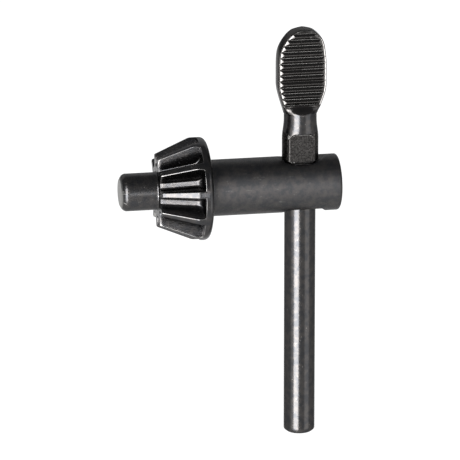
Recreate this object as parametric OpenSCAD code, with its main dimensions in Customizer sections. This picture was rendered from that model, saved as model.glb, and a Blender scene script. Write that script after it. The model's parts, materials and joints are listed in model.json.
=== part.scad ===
// Drill chuck key with a thumb handle: a forged key body with a bevel pinion, and a bar pressed through it.
// The shank lies along X and the handle along Z. The origin is on the shank axis, in the pinion's front face,
// and the pilot points to -X. All lengths are in millimetres.

/* [Pilot] */
// Diameter of the pilot that locates the key in the chuck
pilot_d = 6; // [5:0.1:7]
// Length of the pilot in front of the pinion
pilot_len = 5.9; // [4:0.1:9]
// Diameter of the pilot's flat end face
pilot_end_d = 4.4; // [3:0.1:4.8]
// Length of the rounded chamfer at the pilot's end
pilot_chamfer = 0.9; // [0.4:0.1:1.5]
// Radius of the fillet where the pilot meets the pinion
pilot_fillet = 0.3; // [0.1:0.05:0.6]

/* [Pinion] */
// Number of teeth
tooth_count = 11; // [9:1:13]
// Diameter over the teeth at the front
tip_front_d = 11.7; // [10.8:0.1:12.4]
// Diameter over the teeth and over the flange at the back
pinion_d = 16.4; // [15.5:0.1:18]
// Length of the cone on which the tooth tips lie
cone_len = 5.6; // [5:0.1:6]
// Length of the tooth spaces
tooth_len = 6.6; // [6.2:0.1:7]
// Length of the whole pinion with its flange
pinion_len = 8; // [7.8:0.1:9]
// Diameter at the bottom of the tooth spaces at the front
root_front_d = 8; // [7:0.1:8.4]
// Diameter at the bottom of the tooth spaces at the back
root_back_d = 11.2; // [10.4:0.1:11.6]
// Width of the flat bottom of a tooth space
space_floor_w = 0.9; // [0.5:0.1:1.2]
// Slope of each side of a tooth space, measured from the radius
space_side_angle = 28; // [22:1:32]
// Radius of the fillet from the bottom of a tooth space into the flange
space_end_r = 0.9; // [0.5:0.1:0.9]
// Radius of the flange's rounded back edge
flange_edge_r = 0.8; // [0.3:0.1:0.8]
// Turn of the first tooth space from straight up
first_space_angle = 31.9; // [0:0.1:32.7]

/* [Shank] */
// Diameter of the shank
shank_d = 9; // [8.5:0.1:10]
// Distance from the pinion's front face to the end of the shank
shank_end_x = 29.3; // [28:0.1:34]
// Chamfer on the end of the shank
shank_chamfer = 0.45; // [0.2:0.05:0.8]
// Distance from the pinion's front face to the handle's axis
handle_x = 23.2; // [20:0.1:23.6]
// Diameter of the countersink around the handle hole's upper end, at the crest of the shank
sink_d = 7.8; // [7:0.1:8]
// Full angle of the countersink
sink_angle = 118; // [90:1:120]
// Length of the saddle cut across the underside of the shank, where the bar comes out
saddle_len = 7.3; // [6:0.1:7.6]
// Distance from the shank axis to the bottom of the saddle
saddle_z = 3.6; // [3.5:0.1:4.2]

/* [Handle bar] */
// Diameter of the bar and of the hole that it is pressed into
bar_d = 5; // [4.8:0.05:5.2]
// Height of the bar's lower end below the shank axis
bar_bottom = 41.4; // [30:0.1:60]
// Chamfer on the bar's lower end
bar_chamfer = 0.45; // [0.2:0.05:0.8]
// Width of the flattened ears that rest in the countersink
ear_w = 5.84; // [5.5:0.02:6]
// Thickness of the bar across the ears' flats
ear_t = 3.6; // [3.2:0.1:4]

/* [Thumb pad] */
// Height of the top of the pad above the shank axis
pad_top = 25.5; // [25.4:0.1:28]
// Width of the pad where it is widest
pad_w = 7.86; // [7:0.02:9]
// Thickness of the pad over the ribs
pad_t = 3; // [2.6:0.1:3.4]
// Number of ribs across each face of the pad
rib_count = 13; // [9:1:13]
// Distance from one rib to the next
rib_pitch = 0.9; // [0.8:0.01:0.91]
// Depth of the grooves between the ribs
rib_depth = 0.3; // [0.1:0.05:0.4]

/* [Hidden] */
$fn = 96;
steel = "#34343a";
handle_steel = "#3c3a3d";
cut = 0.5;                                    // how far a cutting solid reaches past the face that it cuts
arc_steps = 6;                                // straight pieces in a rounded edge

// Tooth spaces
tip_r = pinion_d / 2;
tooth_pitch = 360 / tooth_count;
space_top_r = tip_r + 1;                      // the cutting solid reaches past the tooth tips
corner_r = 0.25;                              // rounding between a space's bottom and its sides
corner_steps = 3;

// Handle
bar_r = bar_d / 2;
sink_slope = tan(sink_angle / 2);
sink_bottom_z = shank_d / 2 - (sink_d - bar_d) / 2 / sink_slope;
saddle_shift = 0.35;                          // the saddle's middle lies this far beyond the bar's axis
ear_gap = 0.04;                               // between the ears and the countersink
ear_root_w = 0.98 * bar_d;                    // the ears grow out of the bar from inside its round
ear_root_t = 3.5;
ear_root_squareness = 2.5;
ear_squareness = 4;
pad_squareness = 5;
ear_seat_z = sink_bottom_z + ear_gap;
ear_full_z = ear_seat_z + (ear_w - bar_d) / 2 / sink_slope + ear_gap;
ear_top_z = 8.7;
neck_z = 10.8;
pad_neck_z = 12.3;                            // the round neck ends here, and the pad's faces start above
pad_face_z = 13.1;
pad_start_z = 10.7;                           // the outline widens from here
pad_full_z = 16.6;
pad_wide_z = 18.9;                            // the outline narrows again from here up
pad_corner_z = 25.1;                          // the top edge of the pad is rounded from here up
neck_r = 2.62;
ring_points = 40;

// The share of the way from a to b at which x lies, eased at both ends
function ease(a, b, x) = let (t = min(1, max(0, (x - a) / (b - a)))) t * t * (3 - 2 * t);
function mix(a, b, t) = a + (b - a) * t;

// Points of an arc about centre c, from angle a0 to angle a1
function arc(c, r, a0, a1, steps = arc_steps) =
    [for (i = [0 : steps]) let (a = mix(a0, a1, i / steps)) c + r * [cos(a), sin(a)]];

// Faces of a lofted solid between rings of n points, with flat ends. The rings run
// counterclockwise as seen from the last one.
function loft_faces(rings, n) = concat(
    [[for (i = [0 : n - 1]) i]],
    [for (k = [0 : rings - 2], i = [0 : n - 1])
        let (a = k * n + i, b = k * n + (i + 1) % n)
        each [[a, b + n, b], [a, a + n, b + n]]],
    [[for (i = [n - 1 : -1 : 0]) (rings - 1) * n + i]]);

module loft(rings) {
    polyhedron([for (ring = rings) each ring], loft_faces(len(rings), len(rings[0])));
}

// Turns a profile of [radius, height] about Z into a solid of revolution about X
module along_x() {
    rotate([0, 90, 0])
        children();
}

// ---- Key body

// Half outline of the key body as [radius, distance from the pinion's front face]
function body_outline() = concat(
    [[0, -pilot_len]],
    pilot_nose(),
    arc([pilot_d / 2 + pilot_fillet, -pilot_fillet], pilot_fillet, 180, 90),
    [[tip_front_d / 2, 0], [tip_r, cone_len]],
    arc([tip_r - flange_edge_r, pinion_len - flange_edge_r], flange_edge_r, 0, 90),
    [[shank_d / 2, pinion_len],
     [shank_d / 2, shank_end_x - shank_chamfer],
     [shank_d / 2 - shank_chamfer, shank_end_x],
     [0, shank_end_x]]);

// The chamfer at the pilot's end bulges a little
function pilot_nose() =
    let (dr = (pilot_d - pilot_end_d) / 2)
    [for (i = [0 : arc_steps])
        let (t = i / arc_steps, bulge = 0.16 * sin(180 * t))
        [pilot_end_d / 2 + dr * t + bulge * pilot_chamfer,
         -pilot_len + pilot_chamfer * t - bulge * dr]];

module body_blank() {
    along_x()
        rotate_extrude()
            polygon(body_outline());
}

// Radius of the bottom of a tooth space at distance s, with the fillet into the flange
function root_r(s) = mix(root_front_d, root_back_d, s / tooth_len) / 2;
function floor_r(s) =
    let (into = max(0, s - tooth_len + space_end_r))
    root_r(s) + space_end_r - sqrt(space_end_r * space_end_r - into * into);

// Half width of a tooth space at distance s and radius r
function space_half_w(s, r) = space_floor_w / 2 + (r - root_r(s)) * tan(space_side_angle);

// One side of the space's section, from its bottom corner to its top, as [across, radius]
function space_side(s) =
    let (r0 = floor_r(s), lean = 90 - space_side_angle)
    concat(
        [for (i = [0 : corner_steps])
            let (t = i / corner_steps, r = r0 + corner_r * t * t)
            [space_half_w(s, r) - corner_r * (1 - t) * (1 - t), r]],
        [[space_half_w(s, space_top_r), space_top_r]]);

function space_ring(s) =
    let (side = space_side(s), n = len(side))
    concat(
        [for (i = [n - 1 : -1 : 0]) [s, -side[i][0], side[i][1]]],
        [for (p = side) [s, p[0], p[1]]]);

// The solid that one tooth space cuts out, standing on the +Z side of the axis
module tooth_space() {
    fillet_start = tooth_len - space_end_r;
    fillet_stops = [for (i = [1 : arc_steps]) fillet_start + space_end_r * sin(90 * i / arc_steps)];
    loft([for (s = concat([-cut, fillet_start], fillet_stops)) space_ring(s)]);
}

module tooth_spaces() {
    for (i = [0 : tooth_count - 1])
        rotate([first_space_angle + i * tooth_pitch, 0, 0])
            tooth_space();
}

// The hole for the handle, with a countersink at its upper end
module handle_hole() {
    reach = shank_d / 2 + cut;
    sink_top_r = sink_d / 2 + cut * sink_slope;
    translate([handle_x, 0, 0]) {
        cylinder(h = 2 * reach, r = bar_r, center = true);
        translate([0, 0, sink_bottom_z])
            cylinder(h = reach - sink_bottom_z, r1 = bar_r, r2 = sink_top_r);
    }
}

// A flat-bottomed groove with 45 degree ends, from side to side of the shank's underside
module saddle() {
    reach = shank_d / 2 + cut;
    long = saddle_len / 2 + cut;
    short = long - reach + saddle_z;
    translate([handle_x + saddle_shift, 0, 0])
        rotate([90, 0, 0])
            linear_extrude(height = 2 * reach, center = true)
                polygon([[-long, -reach], [long, -reach], [short, -saddle_z], [-short, -saddle_z]]);
}

module key_body() {
    color(steel)
        difference() {
            body_blank();
            tooth_spaces();
            handle_hole();
            saddle();
        }
}

// ---- Thumb handle

// Half width of the handle at height z: bar, ears, neck and the oval pad
function half_w(z) =
    z < ear_top_z ? mix(ear_root_w, ear_w, ease(ear_seat_z, ear_full_z, z)) / 2
    : z < neck_z ? mix(ear_w / 2, neck_r, ease(ear_top_z - 1, neck_z, z))
    : z < pad_wide_z ? mix(neck_r, pad_w / 2, ease(pad_start_z, pad_full_z, z))
    : pad_w / 2 * sqrt(max(0, 1 - pow((z - pad_wide_z) / (pad_top + 0.05 - pad_wide_z), 3)));

// The pad's middle lies a little beyond the bar's axis, because its far shoulder is the fuller one
function pad_shift(z) = 0.1 * ease(12, 16, z) + 0.3 * ease(21.5, 24.5, z);

// Half thickness of the handle at height z
function half_t(z) =
    z < ear_top_z ? mix(ear_root_t, ear_t, ease(ear_seat_z, ear_full_z, z)) / 2
    : z < pad_neck_z ? mix(ear_t / 2, bar_r, ease(ear_top_z, neck_z - 0.8, z))
    : mix(bar_r, pad_t / 2, ease(pad_neck_z, pad_face_z, z)) - 0.3 * ease(pad_corner_z, pad_top, z);

// Roundness of the section: 2 is an ellipse, and more is squarer
function squareness(z) =
    z < ear_top_z ? mix(ear_root_squareness, ear_squareness, ease(ear_seat_z, ear_full_z, z))
    : z < pad_neck_z ? mix(ear_squareness, 2, ease(ear_top_z, neck_z, z))
    : mix(2, pad_squareness, ease(pad_neck_z, pad_face_z, z));

// Depth of the grooves at height z. The first groove lies above the first rib.
function groove(z) =
    let (k = (z - pad_face_z) / rib_pitch, part = k - floor(k))
    k < 0 || k > rib_count ? 0 : rib_depth * max(0, 1 - abs(part - 0.5) * 2.9);

function power(v, p) = sign(v) * pow(abs(v), p);

function handle_ring(z) =
    let (n = squareness(z), face = half_t(z) - groove(z))
    [for (i = [0 : ring_points - 1])
        let (a = 360 * (i + 0.5) / ring_points, y = half_t(z) * power(sin(a), 2 / n))
        [half_w(z) * power(cos(a), 2 / n) + pad_shift(z), max(-face, min(face, y)), z]];

// Heights of the rings: close together where the section changes, and four to a rib
function steps(a, b, n) = [for (i = [0 : n]) mix(a, b, i / n)];
function ring_heights() = concat(
    steps(ear_seat_z - cut, ear_seat_z, 1),
    steps(ear_seat_z + ear_gap, ear_full_z, 3),
    steps(ear_top_z - 1, neck_z, 9),
    steps(neck_z + 0.4, pad_face_z, 7),
    [for (k = [0 : rib_count - 1], part = [0.16, 0.5, 0.84, 1]) pad_face_z + (k + part) * rib_pitch],
    steps(pad_face_z + rib_count * rib_pitch + 0.15, pad_top, 5));

// The bar, whose upper end is inside the lower end of the forged head
module bar() {
    translate([0, 0, -bar_bottom]) {
        cylinder(h = bar_chamfer, r1 = bar_r - bar_chamfer, r2 = bar_r);
        translate([0, 0, bar_chamfer])
            cylinder(h = bar_bottom - bar_chamfer + ear_seat_z - ear_gap, r = bar_r);
    }
}

// Ears, neck and ribbed pad in one forging
module head() {
    loft([for (z = ring_heights()) handle_ring(z)]);
}

module thumb_handle() {
    color(handle_steel)
        translate([handle_x, 0, 0])
            union() {
                bar();
                head();
            }
}

key_body();
thumb_handle();
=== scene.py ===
"""Looks of the drill chuck key: finely rounded meshes in place of both CAD nodes, black oxide steel, a pale
floor and soft boxes. Lengths are in millimetres until a mesh is made, and in metres in the scene."""

import json
import math

import bmesh
import bpy
import numpy as np
from mathutils import Matrix, Vector


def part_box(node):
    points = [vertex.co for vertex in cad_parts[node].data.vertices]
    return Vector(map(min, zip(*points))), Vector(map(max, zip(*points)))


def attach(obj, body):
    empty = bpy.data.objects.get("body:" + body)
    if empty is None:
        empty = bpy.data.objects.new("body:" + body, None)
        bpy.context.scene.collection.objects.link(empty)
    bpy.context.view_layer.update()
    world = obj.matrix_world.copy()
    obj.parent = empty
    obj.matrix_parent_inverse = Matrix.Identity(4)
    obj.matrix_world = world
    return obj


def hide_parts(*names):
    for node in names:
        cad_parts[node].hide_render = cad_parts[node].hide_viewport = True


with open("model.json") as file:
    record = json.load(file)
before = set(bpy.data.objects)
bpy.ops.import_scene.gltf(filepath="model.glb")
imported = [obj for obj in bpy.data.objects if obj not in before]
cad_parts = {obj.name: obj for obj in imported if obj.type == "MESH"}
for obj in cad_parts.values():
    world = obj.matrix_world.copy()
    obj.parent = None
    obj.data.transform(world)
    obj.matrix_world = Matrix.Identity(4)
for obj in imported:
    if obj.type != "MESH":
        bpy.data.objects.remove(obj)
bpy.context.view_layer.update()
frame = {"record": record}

MM = 0.001

# ---------------------------------------------------------------- sizes, in mm
body_lo, body_hi = (np.array(c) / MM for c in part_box("key_body"))
handle_lo, handle_hi = (np.array(c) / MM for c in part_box("thumb_handle"))
MOUNTS = {m["name"]: m for m in frame["record"]["mounts"]}

# Key body, along +X from the pinion's front face
PILOT_R = MOUNTS["pilot"]["dims"]["r_mm"]
PILOT_END = body_lo[0]
PILOT_FACE_R = 2.2
PILOT_CHAMFER = 0.9
PILOT_FILLET = 0.3
TEETH = 11
PITCH = 2 * math.pi / TEETH
FIRST_SPACE = math.radians(31.9)
TIP_FRONT_R = 5.85
TIP_R = body_hi[1]
CONE_END = 5.6
TOOTH_END = 6.6
ROOT_FRONT_R = 4.0
ROOT_BACK_R = 5.6
SPACE_FLOOR = 0.45
SPACE_SLOPE = math.tan(math.radians(28))
SPACE_END_R = 0.9
FLANGE_BACK = 8.0
FLANGE_ROUND = 0.8
SHANK_R = 4.5
SHANK_FILLET = 0.8
SHANK_END = body_hi[0]
SHANK_ROUND = 0.45
SINK_TOP_R = 3.9
SINK_SLOPE = math.tan(math.radians(59))
SADDLE_SHIFT = 0.35
SADDLE_HALF = 3.65
SADDLE_Z = 3.6
EDGE = 0.1
TOOTH_CORNER = 0.22
FLANK_BULGE = 0.05
SINK_EDGE = 0.1

# Handle, along +Z from the shank's axis
HANDLE_X = MOUNTS["handle_bar"]["pos_m"][0] / MM
BAR_R = handle_hi[1]
BAR_END = handle_lo[2]
BAR_CHAMFER = 0.45
EAR_R = 2.92
FLAT_Y = 1.8
FLAT_HALF_W = 2.12
FLAT_TOP = 8.6
FLAT_CORNER = 1.2
NECK_R = 2.62
NECK_START_Z = 7.6
NECK_Z = 10.8
PAD_TOP = handle_hi[2]
PAD_HALF_W = (handle_hi[0] - handle_lo[0]) / 2
PAD_START_Z = 10.7
PAD_FULL_Z = 16.6
PAD_WIDE_Z = 18.9
PAD_HALF_T = 1.5
PAD_TOP_ROUND = 0.3
# each step is how far the pad leans, and the heights that it leans between
PAD_LEAN = ((0.1, 12, 16), (0.3, 21.5, 24.5))
LEDGE_TOP = 13.2
LEDGE_BOTTOM = 11.8
RIBS = 13
RIB_PITCH = 0.967
FIRST_RIB = 13.77
RIB_HEIGHT = 0.3
RIB_RIM = 0.2
RIB_END = 0.62

# Camera, with its distances in metres
VIEW_AZIMUTH = math.radians(-10.5)
VIEW_ELEVATION = math.radians(17)
VIEW_DISTANCE = 0.85
VIEW_LENS = 420
AIM_RIGHT = 0.01168
AIM_DOWN = 0.0062

# Studio, in metres
LIGHT_DISTANCE = 0.9
FLOOR_HALF = 8.0
FLOOR_DROP = 0.6


def mix(a, b, t):
    return a + (b - a) * t


def ease(a, b, x):
    t = np.clip((x - a) / (b - a), 0, 1)
    return t * t * (3 - 2 * t)


def soft_min(a, b, r):
    """The lower of a and b, with the corner between them rounded over about r."""
    h = np.clip(0.5 + 0.5 * (b - a) / r, 0, 1)
    return b + (a - b) * h - r * h * (1 - h)


def grid_mesh(name, rings, ends):
    """A closed mesh from rings of points, with a fan to each end point.

    Rings run clockwise as seen from the last."""
    rings = np.asarray(rings, float)
    rows, n = rings.shape[:2]
    points = np.concatenate([rings.reshape(-1, 3), np.asarray(ends, float)]) * MM
    a = np.arange(rows * n).reshape(rows, n)
    b = np.roll(a, -1, axis=1)
    quads = np.stack([a[:-1], a[1:], b[1:], b[:-1]], axis=-1).reshape(-1, 4)
    first, last = rows * n, rows * n + 1
    fans = [(first, i, j) for i, j in zip(a[0], b[0])]
    fans += [(last, j, i) for i, j in zip(a[-1], b[-1])]
    mesh = bpy.data.meshes.new(name)
    mesh.from_pydata(points.tolist(), [], quads.tolist() + fans)
    mesh.validate()
    mesh.shade_smooth()
    return mesh


def add_object(name, mesh):
    obj = bpy.data.objects.new(name, mesh)
    bpy.context.scene.collection.objects.link(obj)
    return obj


# ---------------------------------------------------------------- key body
def root_r(s):
    return mix(ROOT_FRONT_R, ROOT_BACK_R, s / TOOTH_END)


def tip_r(s):
    cone = mix(TIP_FRONT_R, TIP_R, s / CONE_END)
    return soft_min(cone, TIP_R, 0.12)


def bend(p0, p1, p2, n):
    """Points of the curve from p0 to p2 that rounds the corner p1."""
    t = np.linspace(0, 1, n)[:, None]
    return (1 - t) ** 2 * p0 + 2 * t * (1 - t) * p1 + t**2 * p2


def half_space(s, floor, tip, inset):
    """Half of one pitch of the teeth's section, as [across, up].

    It runs from the middle of a space to the middle of a tooth."""
    tip = tip - inset
    floor_w = SPACE_FLOOR + (floor - root_r(s)) * SPACE_SLOPE
    offset = floor_w + inset * math.hypot(1, SPACE_SLOPE)

    def side(z):
        return offset + (z - floor) * SPACE_SLOPE

    # the side meets the circle of the tips where side(z)^2 + z^2 = tip^2
    m, c = SPACE_SLOPE, offset - floor * SPACE_SLOPE
    z_edge = (-m * c + math.sqrt(tip**2 * (1 + m * m) - c * c)) / (1 + m * m)
    floor -= inset * 0.5
    a = np.array([side(floor) - TOOTH_CORNER, floor])
    b = np.array([side(floor), floor])
    up = np.array([m, 1]) / math.hypot(m, 1)
    edge = np.array([side(z_edge), z_edge])
    low, high = b + up * TOOTH_CORNER, edge - up * EDGE
    angle = math.atan2(edge[0], edge[1]) + EDGE / tip
    land = np.linspace(angle, PITCH / 2, 4)
    land = np.stack([np.sin(land), np.cos(land)], axis=1) * tip
    t = np.linspace(0, 1, 7)[1:-1, None]
    bulge = FLANK_BULGE * np.sin(math.pi * t) * np.array([-up[1], up[0]])
    return np.concatenate([
        np.linspace([0, floor], a, 4)[:-1],
        bend(a, b, low, 5),
        mix(low, high, t) + bulge,
        bend(high, edge, land[0], 5),
        land[1:],
    ])


def space_polar(s, floor, tip, inset):
    """One whole pitch as (angles, radii), the first and last being the middle of a tooth."""
    half = half_space(s, floor, tip, inset)
    angle, radius = np.arctan2(half[:, 0], half[:, 1]), np.hypot(half[:, 0], half[:, 1])
    return (
        np.concatenate([-angle[:0:-1], angle]),
        np.concatenate([radius[:0:-1], radius]),
    )


def whole_ring(x, angle, radius):
    """All the teeth's points at x: one pitch repeated, without the last point, which starts the next."""
    turns = FIRST_SPACE + np.arange(TEETH) * PITCH
    angles = (turns[:, None] + angle[None, :-1]).ravel()
    radii = np.tile(radius[:-1], TEETH)
    return np.stack([np.full_like(radii, x), -np.sin(angles) * radii, np.cos(angles) * radii], axis=1)


def pilot_profile():
    """(x, radius) from the pilot's end face to its shoulder."""
    a, b = np.array([PILOT_END, PILOT_FACE_R]), np.array([PILOT_END + PILOT_CHAMFER, PILOT_R])
    face = [(PILOT_END, r) for r in (0.7, 1.4, PILOT_FACE_R - 0.12)]
    crease = bend(a - [0, 0.12], a, a + [0.1, 0.1], 4)
    corner = bend(a + [0.1, 0.1], np.array([PILOT_END + 0.35, PILOT_R - 0.12]), b, 9)
    straight = [(x, PILOT_R) for x in np.linspace(b[0], -PILOT_FILLET, 12)[1:-1]]
    turn = np.linspace(0, math.pi / 2, 6)
    fillet = np.stack([
        -PILOT_FILLET + PILOT_FILLET * np.sin(turn),
        PILOT_R + PILOT_FILLET * (1 - np.cos(turn)),
    ], axis=1)
    return np.concatenate([face, crease, corner[1:], straight, fillet])


def flange_profile():
    """(x, radius) from the flange's rim to the end of the shank's round edge."""
    turn = np.linspace(0, math.pi / 2, 8)
    back = np.stack([
        FLANGE_BACK - FLANGE_ROUND + FLANGE_ROUND * np.sin(turn),
        TIP_R - FLANGE_ROUND + FLANGE_ROUND * np.cos(turn),
    ], axis=1)
    disc = [(FLANGE_BACK, r) for r in np.linspace(back[-1][1], SHANK_R + SHANK_FILLET, 5)[1:-1]]
    hollow = np.stack([
        FLANGE_BACK + SHANK_FILLET * (1 - np.cos(turn)),
        SHANK_R + SHANK_FILLET * (1 - np.sin(turn)),
    ], axis=1)
    sink_lo, sink_hi = HANDLE_X - SINK_TOP_R - 0.4, HANDLE_X + SINK_TOP_R + 0.5
    plain = [(x, SHANK_R) for x in np.linspace(hollow[-1][0], sink_lo, 22)[1:]]
    fine = [(x, SHANK_R) for x in np.linspace(sink_lo, sink_hi, 74)[1:]]
    corner = bend(
        np.array([SHANK_END - SHANK_ROUND, SHANK_R]),
        np.array([SHANK_END - 0.1, SHANK_R - 0.03]),
        np.array([SHANK_END, SHANK_R - SHANK_ROUND]), 8)
    rest = [(x, SHANK_R) for x in np.linspace(sink_hi, corner[0][0], 5)[1:-1]]
    face = [(SHANK_END, r) for r in (3.2, 2.2, 1.1)]
    return np.concatenate([back, disc, hollow, plain, fine, rest, corner, face])


def teeth_rings():
    """Rings over the teeth, from the front face to the flange's rim, and the angles of the last."""
    rings = []
    round_in = EDGE * (1 - np.cos(np.linspace(0, math.pi / 2, 5)))
    round_up = EDGE * (1 - np.sin(np.linspace(0, math.pi / 2, 5)))
    for s, inset in zip(round_in, round_up):
        rings.append((s, *space_polar(s, root_r(s), tip_r(s), inset)))
    fillet_start = TOOTH_END - SPACE_END_R
    for s in np.concatenate([np.linspace(EDGE, 5.2, 16)[1:], np.linspace(5.2, fillet_start, 7)[1:]]):
        rings.append((s, *space_polar(s, root_r(s), tip_r(s), 0)))
    for turn in np.linspace(0, math.pi / 2, 8)[1:]:
        s = fillet_start + SPACE_END_R * math.sin(turn) * 0.98
        floor = root_r(s) + SPACE_END_R * (1 - math.cos(turn)) * 0.9
        rings.append((s, *space_polar(s, floor, tip_r(s), 0)))
    s, angle, radius = rings[-1]
    for share in (0.25, 0.5, 0.75, 0.9):
        rings.append((s + 0.06 * share, angle, mix(radius, TIP_R, share)))
    for step in (0.3, 0.65, 1):
        rings.append((s + 0.06 + EDGE * step, angle, np.full_like(radius, TIP_R)
                      - (TIP_R - radius > 1e-3) * EDGE * (1 - math.sqrt(1 - (1 - step) ** 2))))
    return rings, angle


def sink(points):
    """Presses the countersink into the shank's crest, and cuts the saddle across its underside."""
    x, y, z = points[:, 0] - HANDLE_X, points[:, 1], points[:, 2]
    across = np.hypot(x, y)
    cone = SHANK_R + (across - SINK_TOP_R) / SINK_SLOPE
    saddle = np.maximum(SADDLE_Z, SHANK_R + np.abs(x - SADDLE_SHIFT) - SADDLE_HALF)
    z = np.where((z > 0) & (across < SINK_TOP_R + 0.5), soft_min(z, cone, SINK_EDGE), z)
    under = (z < 0) & (np.abs(x - SADDLE_SHIFT) < SADDLE_HALF + 0.4)
    points[:, 2] = np.where(under, -soft_min(-z, saddle, SINK_EDGE), z)
    return points


def key_body():
    teeth, angle = teeth_rings()
    s0, angle0, radius0 = teeth[0]
    pilot = pilot_profile()
    rings = [whole_ring(x, angle0, np.full_like(angle0, r)) for x, r in pilot]
    shoulder = pilot[-1][1]
    rings += [whole_ring(0, angle0, mix(shoulder, radius0, t)) for t in (0.15, 0.4, 0.7)]
    rings += [whole_ring(*ring) for ring in teeth]
    rings += [sink(whole_ring(x, angle, np.full_like(angle, r))) for x, r in flange_profile()]
    mesh = grid_mesh("key_body_fine", rings, [(PILOT_END, 0, 0), (SHANK_END, 0, 0)])
    body = add_object("key_body_fine", mesh)
    bore_through(body)
    return body


def bore_through(body):
    """Cuts the handle's hole."""
    cutter_mesh = bpy.data.meshes.new("hole")
    bm = bmesh.new()
    bmesh.ops.create_cone(
        bm, cap_ends=True, segments=128, radius1=(BAR_R + 0.004) * MM, radius2=(BAR_R + 0.004) * MM,
        depth=4 * SHANK_R * MM, matrix=Matrix.Translation((HANDLE_X * MM, 0, 0)))
    bm.to_mesh(cutter_mesh)
    bm.free()
    cutter = add_object("hole", cutter_mesh)
    cut = body.modifiers.new("hole", "BOOLEAN")
    cut.operation, cut.solver, cut.object = "DIFFERENCE", "EXACT", cutter
    graph = bpy.context.evaluated_depsgraph_get()
    bored = bpy.data.meshes.new_from_object(body.evaluated_get(graph), depsgraph=graph)
    body.modifiers.clear()
    body.data = bored
    bpy.data.objects.remove(cutter)


# ---------------------------------------------------------------- handle
def ring_places():
    """Each point of a handle ring as (part, place), with place from 0 to 1.

    The parts are the front, right, back and left of the section."""
    parts = []
    for part, n in enumerate((72, 20, 72, 20)):
        parts += [(part, i / n) for i in range(n)]
    return np.array(parts, float)


PLACES = ring_places()
FACE_SPAN = math.radians(62)


def circle_ring(rx, ry):
    """A round section whose front and back are the arcs within FACE_SPAN of the Y axis."""
    part, t = PLACES.T
    front, side = 2 * FACE_SPAN, math.pi - 2 * FACE_SPAN
    start = np.array([-FACE_SPAN, FACE_SPAN, math.pi - FACE_SPAN, math.pi + FACE_SPAN])[part.astype(int)]
    span = np.where(part % 2 == 0, front, side)
    turn = start + span * t
    return np.sin(turn) * rx, -np.cos(turn) * ry


def slab_ring(half_w, half_t, corner):
    """A flat section with rounded corners and slightly crowned sides."""
    part, t = PLACES.T
    along = 2 * t - 1
    across = np.where(part % 2 == 0, along, 1.0)
    # the side runs from one rounded corner to the other
    turn = np.clip((np.abs(along) - 0.4) / 0.6, 0, 1) * math.pi / 2
    flat_t, flat_w = half_t - corner, half_w - corner
    side_x = half_w - corner * (1 - np.cos(turn)) - 0.06 * (np.minimum(np.abs(along), 0.4) / 0.4) ** 2
    side_y = np.sign(along) * (flat_t * np.minimum(np.abs(along), 0.4) / 0.4 + corner * np.sin(turn))
    x = np.select([part == 0, part == 1, part == 2, part == 3],
                  [flat_w * across, side_x, -flat_w * across, -side_x])
    y = np.select([part == 0, part == 1, part == 2, part == 3],
                  [-half_t + 0 * t, side_y, half_t + 0 * t, -side_y])
    return x, y


def pad_half_w(z):
    if z < PAD_WIDE_Z:
        return mix(NECK_R, PAD_HALF_W, ease(PAD_START_Z, PAD_FULL_Z, z))
    return PAD_HALF_W * math.sqrt(max(0, 1 - ((z - PAD_WIDE_Z) / (PAD_TOP + 0.05 - PAD_WIDE_Z)) ** 3))


def pad_shift(z):
    """How far the pad's middle lies beyond the bar's axis: its far shoulder is the fuller one."""
    return sum(lean * ease(lo, hi, z) for lean, lo, hi in PAD_LEAN)


def bar_r(z):
    """Half width of the round parts: bar, the swell of the ears, and the neck."""
    ears = ease(3.85, 4.15, z) * (1 - ease(NECK_START_Z, NECK_Z, z))
    neck = ease(NECK_START_Z, NECK_Z, z)
    return BAR_R + ears * (EAR_R - BAR_R) + neck * (NECK_R - BAR_R)


def ribs(x, z, half_w):
    """Height of the ribs on the pad's face, and where their ends are worn.

    The ends slope down to the rim."""
    slope = (pad_half_w(z + 0.05) - pad_half_w(z - 0.05)) / 0.1
    inside = (half_w - RIB_RIM - np.abs(x)) / math.hypot(1, slope)
    k = round((z - FIRST_RIB) / RIB_PITCH)
    if k < 0 or k > RIBS - 1:
        return np.zeros_like(x), np.zeros_like(x)
    off = (z - FIRST_RIB - k * RIB_PITCH) / RIB_PITCH
    crest = np.clip(1.12 - abs(off) * 2.3, 0, 1)
    end = np.clip(inside / RIB_END, 0, 1)
    worn = (inside > 0.08) * (1 - ease(0.3, 0.7, end)) * ease(0, 0.15, crest - end)
    return RIB_HEIGHT * soft_min(np.full_like(x, crest), end, 0.12), worn


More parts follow.
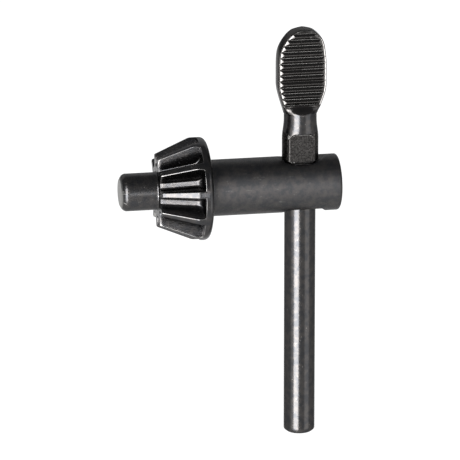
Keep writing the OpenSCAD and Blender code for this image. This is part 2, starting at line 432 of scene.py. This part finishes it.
def handle_ring(z):
    """Points of the handle's section at z, and how worn each is."""
    round_r = bar_r(z)
    worn = np.zeros(len(PLACES))
    x, y = circle_ring(round_r, BAR_R + (NECK_R - BAR_R) * ease(NECK_START_Z, NECK_Z, z))
    if z > LEDGE_BOTTOM:
        half_w = pad_half_w(z)
        top = ease(PAD_TOP - 0.45, PAD_TOP, z)
        sx, sy = slab_ring(half_w, PAD_HALF_T - PAD_TOP_ROUND * top, 0.3 + 0.2 * top)
        flat = ease(LEDGE_BOTTOM, LEDGE_TOP, z)
        x, y = mix(x * half_w / round_r, sx, flat), mix(y, sy, flat)
        face = np.abs(np.abs(y) - PAD_HALF_T + PAD_TOP_ROUND * top) < 0.02
        height, ends = ribs(x, z, half_w)
        height, worn = (part * face * (z > LEDGE_TOP) for part in (height, ends))
        y = np.sign(y) * (np.abs(y) - RIB_HEIGHT * face * (1 - top) * (z > LEDGE_TOP) + height)
    # the swaged flats
    deep = np.hypot(np.maximum(0, np.abs(x) - FLAT_HALF_W + FLAT_CORNER),
                    max(0, z - FLAT_TOP + FLAT_CORNER)) - FLAT_CORNER
    inside = 1 - ease(-0.12, 0.12, deep)
    inside = inside * ease(3.45, 3.65, z)
    y = np.sign(y) * mix(np.abs(y), np.minimum(np.abs(y), FLAT_Y), inside)
    return np.stack([x + HANDLE_X + pad_shift(z), y, np.full_like(x, z)], axis=1), worn


def handle_heights():
    turn = np.linspace(0, 1, 5)
    return np.concatenate([
        BAR_END + BAR_CHAMFER * turn,
        np.linspace(BAR_END + BAR_CHAMFER, 3.6, 80)[1:],
        np.linspace(3.6, 4.3, 15)[1:],
        np.linspace(4.3, NECK_Z, 60)[1:],
        np.linspace(NECK_Z, LEDGE_TOP, 28)[1:],
        np.linspace(LEDGE_TOP, PAD_TOP, 190)[1:],
    ])


def thumb_handle():
    rings, wear = [], []
    for r in (0.7, 1.4, 1.9):
        x, y = circle_ring(r, r)
        rings.append(np.stack([x + HANDLE_X, y, np.full_like(x, BAR_END)], axis=1))
        wear.append(np.zeros_like(x))
    for z in handle_heights():
        ring, worn = handle_ring(z)
        up = (z - BAR_END) / BAR_CHAMFER
        if up < 1:
            shrink = (BAR_R - BAR_CHAMFER * (1 - up) ** 1.4) / BAR_R
            ring[:, 0] = (ring[:, 0] - HANDLE_X) * shrink + HANDLE_X
            ring[:, 1] *= shrink
        rings.append(ring)
        wear.append(worn)
    top = rings[-1]
    crown = np.array([HANDLE_X + pad_shift(PAD_TOP), 0, PAD_TOP])
    for share in (0.6, 0.3):
        rings.append(mix(crown, top, share))
        wear.append(np.zeros(len(top)))
    mesh = grid_mesh("thumb_handle_fine", rings, [(HANDLE_X, 0, BAR_END), crown])
    layer = mesh.attributes.new("worn", "FLOAT", "POINT")
    layer.data.foreach_set("value", np.concatenate([*wear, [0, 0]]).astype(np.float32))
    return add_object("thumb_handle_fine", mesh)


# ---------------------------------------------------------------- materials
class Look:
    """Node material on a metal Principled shader, with patterns laid out in the model's own millimetres."""

    def __init__(self, name):
        self.material = bpy.data.materials.new(name)
        self.material.use_nodes = True
        self.tree = self.material.node_tree
        self.shader = self.tree.nodes["Principled BSDF"]
        self.shader.inputs["Metallic"].default_value = 1.0
        where = self.tree.nodes.new("ShaderNodeTexCoord").outputs["Object"]
        scale = self.tree.nodes.new("ShaderNodeVectorMath")
        scale.operation = "SCALE"
        scale.inputs["Scale"].default_value = 1 / MM
        self.tree.links.new(where, scale.inputs[0])
        self.mm = scale.outputs[0]

    def feed(self, socket, value):
        """Links another node's output, or sets a constant."""
        if isinstance(value, bpy.types.NodeSocket):
            self.tree.links.new(value, socket)
        else:
            socket.default_value = value

    def math(self, operation, a, b=0.0, clamp=False):
        node = self.tree.nodes.new("ShaderNodeMath")
        node.operation, node.use_clamp = operation, clamp
        self.feed(node.inputs[0], a)
        self.feed(node.inputs[1], b)
        return node.outputs[0]

    def axis(self, letter):
        node = self.tree.nodes.new("ShaderNodeSeparateXYZ")
        self.tree.links.new(self.mm, node.inputs[0])
        return node.outputs[letter]

    def remap(self, value, lo, hi, out_lo=0.0, out_hi=1.0):
        """Eases from out_lo to out_hi while value runs from lo to hi."""
        node = self.tree.nodes.new("ShaderNodeMapRange")
        node.interpolation_type = "SMOOTHSTEP"
        for socket, number in zip(node.inputs, (value, lo, hi, out_lo, out_hi)):
            self.feed(socket, number)
        return node.outputs[0]

    def noise(self, per_mm, detail=4.0, rough=0.6, stretch=(1, 1, 1)):
        place = self.tree.nodes.new("ShaderNodeVectorMath")
        place.operation = "MULTIPLY"
        self.tree.links.new(self.mm, place.inputs[0])
        place.inputs[1].default_value = stretch
        node = self.tree.nodes.new("ShaderNodeTexNoise")
        self.tree.links.new(place.outputs[0], node.inputs["Vector"])
        node.inputs["Scale"].default_value = per_mm
        node.inputs["Detail"].default_value = detail
        node.inputs["Roughness"].default_value = rough
        return node.outputs[0]

    def pits(self, per_mm, size):
        """1 in the middle of scattered small round pits, and 0 outside them."""
        node = self.tree.nodes.new("ShaderNodeTexVoronoi")
        self.tree.links.new(self.mm, node.inputs["Vector"])
        node.inputs["Scale"].default_value = per_mm
        return self.remap(node.outputs["Distance"], size * 0.4, size, 1.0, 0.0)

    def worn_edges(self, lo, hi):
        """1 on the sharpest outside edges, where the oxide rubs off first."""
        sharpness = self.tree.nodes.new("ShaderNodeNewGeometry").outputs["Pointiness"]
        return self.remap(sharpness, lo, hi)

    def attribute(self, name):
        node = self.tree.nodes.new("ShaderNodeAttribute")
        node.attribute_name = name
        return node.outputs["Fac"]

    def mix_colour(self, factor, a, b):
        node = self.tree.nodes.new("ShaderNodeMix")
        node.data_type = "RGBA"
        self.feed(node.inputs["Factor"], factor)
        self.feed(node.inputs[6], a if isinstance(a, bpy.types.NodeSocket) else (*a, 1))
        self.feed(node.inputs[7], b if isinstance(b, bpy.types.NodeSocket) else (*b, 1))
        return node.outputs[2]

    def mix_value(self, factor, a, b):
        node = self.tree.nodes.new("ShaderNodeMix")
        self.feed(node.inputs[0], factor)
        self.feed(node.inputs[2], a)
        self.feed(node.inputs[3], b)
        return node.outputs[0]

    def bump(self, height, depth_mm):
        node = self.tree.nodes.new("ShaderNodeBump")
        node.inputs["Distance"].default_value = depth_mm * MM
        self.feed(node.inputs["Height"], height)
        self.tree.links.new(node.outputs[0], self.shader.inputs["Normal"])

    def finish(self, colour, roughness):
        self.feed(self.shader.inputs["Base Color"], colour)
        self.feed(self.shader.inputs["Roughness"], roughness)
        return self.material


COOL_BLACK = (0.033, 0.0335, 0.0355)
WARM_BLACK = (0.048, 0.0455, 0.0445)
DULL_BLACK = (0.036, 0.034, 0.033)
PRESSED_BLACK = (0.014, 0.0135, 0.013)
BARE = (0.30, 0.295, 0.285)


def body_steel():
    """Black oxide on the forged key body: satin pilot, oily teeth and a grainy shank."""
    look = Look("body_steel")
    x = look.axis("X")
    shank = look.remap(x, FLANGE_BACK - 0.4, FLANGE_BACK + 0.4)
    pilot = look.remap(x, -0.4, 0.0, 1.0, 0.0)
    nose = look.remap(x, PILOT_END + 0.02, PILOT_END + 0.3, 1.0, 0.0)
    patches = look.noise(0.9, 5.0)
    grain = look.noise(5.0, 5.0, 0.8)
    pits = look.pits(1.3, 0.09)
    mottle = look.math("ADD", patches, look.math("MULTIPLY", grain, 0.6))
    colour = look.mix_colour(look.remap(mottle, 0.65, 0.95), COOL_BLACK, WARM_BLACK)
    worn = look.math("MULTIPLY", look.worn_edges(0.515, 0.56), look.remap(grain, 0.3, 0.55, 0.7, 1.0))
    worn = look.math("MULTIPLY", worn, look.remap(x, TOOTH_END, TOOTH_END + 0.2, 1.0, 0.0))
    colour = look.mix_colour(worn, colour, BARE)
    colour = look.mix_colour(look.math("MULTIPLY", nose, 0.8), colour, BARE)
    streaks = look.noise(2.2, 6.0, 0.75, (0.3, 1, 1))
    colour = look.mix_colour(look.remap(streaks, 0.6, 0.76, 0.0, 0.3), colour, BARE)
    specks = look.math("MULTIPLY", look.pits(2.2, 0.1), look.remap(patches, 0.5, 0.62))
    colour = look.mix_colour(look.math("MULTIPLY", specks, 0.6), colour, BARE)
    satin = look.mix_value(shank, look.mix_value(pilot, 0.21, 0.3), 0.36)
    roughness = look.math("ADD", satin, look.math("MULTIPLY", look.math("SUBTRACT", grain, 0.5), 0.45))
    roughness = look.math("ADD", roughness, look.math("MULTIPLY", pits, 0.2))
    coarseness = look.mix_value(shank, look.mix_value(pilot, 0.7, 0.3), 2.0)
    height = look.math("SUBTRACT", look.math("MULTIPLY", grain, coarseness), pits)
    look.bump(height, 0.02)
    look.shader.inputs["Specular Tint"].default_value = (0.65, 0.65, 0.65, 1)
    return look.finish(colour, roughness)


def handle_steel():
    """Black oxide on the drawn bar, a little duller on the swaged ears and the forged pad."""
    look = Look("handle_steel")
    z = look.axis("Z")
    head = look.remap(z, 3.4, 4.4)
    pad = look.remap(z, LEDGE_BOTTOM, LEDGE_TOP)
    patches = look.noise(1.1, 5.0)
    grain = look.noise(4.0, 5.0, 0.7)
    drawn = look.noise(3.0, 5.0, 0.7, (1, 1, 0.05))
    pits = look.pits(1.1, 0.08)
    colour = look.mix_colour(look.remap(patches, 0.38, 0.62), COOL_BLACK, WARM_BLACK)
    colour = look.mix_colour(pad, colour, DULL_BLACK)
    flat = look.math("LESS_THAN", look.math("ABSOLUTE", look.axis("Y")), FLAT_Y + 0.05)
    flat = look.math("MULTIPLY", flat, look.remap(z, FLAT_TOP, FLAT_TOP + 0.2, 1.0, 0.0))
    flat = look.math("MULTIPLY", flat, head)
    swaged = look.mix_colour(look.remap(grain, 0.4, 0.6), PRESSED_BLACK, DULL_BLACK)
    colour = look.mix_colour(flat, colour, swaged)
    specks = look.math("MULTIPLY", look.pits(1.6, 0.11), look.remap(patches, 0.48, 0.6))
    colour = look.mix_colour(look.math("MULTIPLY", specks, 0.8), colour, BARE)
    worn = look.math("MULTIPLY", look.worn_edges(0.515, 0.56), look.remap(grain, 0.3, 0.6, 0.4, 1.0))
    worn = look.math("MULTIPLY", worn, look.math("ADD", flat, look.math("MULTIPLY", pad, 0.5)))
    worn = look.math("MAXIMUM", worn, look.math("MULTIPLY", look.attribute("worn"), 0.3))
    colour = look.mix_colour(worn, colour, BARE)
    satin = look.mix_value(flat, look.mix_value(head, 0.2, 0.22), 0.28)
    roughness = look.math("ADD", satin, look.math("MULTIPLY", look.math("SUBTRACT", grain, 0.5), 0.2))
    roughness = look.math("ADD", roughness, look.math("MULTIPLY", look.math("SUBTRACT", drawn, 0.5), 0.12))
    roughness = look.math("ADD", roughness, look.math("MULTIPLY", pits, 0.25))
    height = look.math("SUBTRACT", look.math("MULTIPLY", look.math("ADD", grain, drawn), 0.3), pits)
    height = look.math("ADD", height, look.math("MULTIPLY", grain, look.math("MULTIPLY", flat, 6.0)))
    look.bump(height, 0.008)
    look.shader.inputs["Specular Tint"].default_value = (0.5, 0.5, 0.5, 1)
    return look.finish(colour, roughness)


# ---------------------------------------------------------------- scene
def towards(azimuth, elevation):
    """The direction from the object to what stands at this azimuth and elevation."""
    level = math.cos(elevation)
    return Vector((math.sin(azimuth) * level, -math.cos(azimuth) * level, math.sin(elevation)))


def make_camera():
    right = Vector((math.cos(VIEW_AZIMUTH), math.sin(VIEW_AZIMUTH), 0))
    back = towards(VIEW_AZIMUTH, VIEW_ELEVATION)
    up = back.cross(right)
    aim = right * AIM_RIGHT - up * AIM_DOWN
    data = bpy.data.cameras.new("camera")
    data.lens, data.sensor_width = VIEW_LENS, 36
    data.clip_start, data.clip_end = 0.01, 20
    camera = add_object("camera", data)
    turn = Matrix((right, up, back)).transposed().to_4x4()
    camera.matrix_world = Matrix.Translation(aim + back * VIEW_DISTANCE) @ turn
    bpy.context.scene.camera = camera


def soft_box(name, azimuth, elevation, width, height, radiance):
    """A soft light that faces the object and is out of the camera's sight."""
    data = bpy.data.lights.new(name, "AREA")
    data.shape, data.size, data.size_y = "RECTANGLE", width, height
    data.energy = radiance * math.pi * width * height
    back = towards(math.radians(azimuth), math.radians(elevation))
    light = add_object(name, data)
    light.location = back * LIGHT_DISTANCE
    light.rotation_mode = "QUATERNION"
    light.rotation_quaternion = back.to_track_quat("Z", "Y")
    light.visible_camera = False


def make_floor():
    half, z = FLOOR_HALF, BAR_END * MM - FLOOR_DROP
    corners = [(-half, -half, z), (half, -half, z), (half, half, z), (-half, half, z)]
    mesh = bpy.data.meshes.new("floor")
    mesh.from_pydata(corners, [], [(0, 1, 2, 3)])
    floor = add_object("floor", mesh)
    mat = bpy.data.materials.new("floor")
    mat.use_nodes = True
    shader = mat.node_tree.nodes["Principled BSDF"]
    shader.inputs["Base Color"].default_value = (0.25, 0.25, 0.25, 1)
    shader.inputs["Roughness"].default_value = 0.9
    shader.inputs["Emission Color"].default_value = (1, 1, 1, 1)
    shader.inputs["Emission Strength"].default_value = 1.0
    mesh.materials.append(mat)


def make_world():
    """White behind the object for the camera, and dim all around it for the reflections."""
    world = bpy.data.worlds.new("world")
    world.use_nodes = True
    tree = world.node_tree
    dim = tree.nodes["Background"]
    dim.inputs["Color"].default_value = (0.95, 0.97, 1, 1)
    dim.inputs["Strength"].default_value = 0.3
    white = tree.nodes.new("ShaderNodeBackground")
    white.inputs["Color"].default_value = (1, 1, 1, 1)
    white.inputs["Strength"].default_value = 1.0
    seen = tree.nodes.new("ShaderNodeLightPath")
    mix_node = tree.nodes.new("ShaderNodeMixShader")
    tree.links.new(seen.outputs["Is Camera Ray"], mix_node.inputs[0])
    tree.links.new(dim.outputs[0], mix_node.inputs[1])
    tree.links.new(white.outputs[0], mix_node.inputs[2])
    tree.links.new(mix_node.outputs[0], tree.nodes["World Output"].inputs[0])
    bpy.context.scene.world = world


bpy.context.scene.view_settings.view_transform = "Standard"
make_camera()
make_world()
make_floor()
soft_box("key", -33.5, 0, 0.57, 1.3, 20)
soft_box("wrap", -63, 0, 0.36, 1.2, 1.6)
soft_box("fill", 46.5, 0, 0.55, 1.2, 1.8)
soft_box("front", 10.5, 2, 0.25, 0.2, 8)
soft_box("back", 180, 30, 1.4, 0.6, 0.8)

body = key_body()
body.data.materials.append(body_steel())
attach(body, "root")
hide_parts("key_body")

handle = thumb_handle()
handle.data.materials.append(handle_steel())
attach(handle, "root")
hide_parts("thumb_handle")
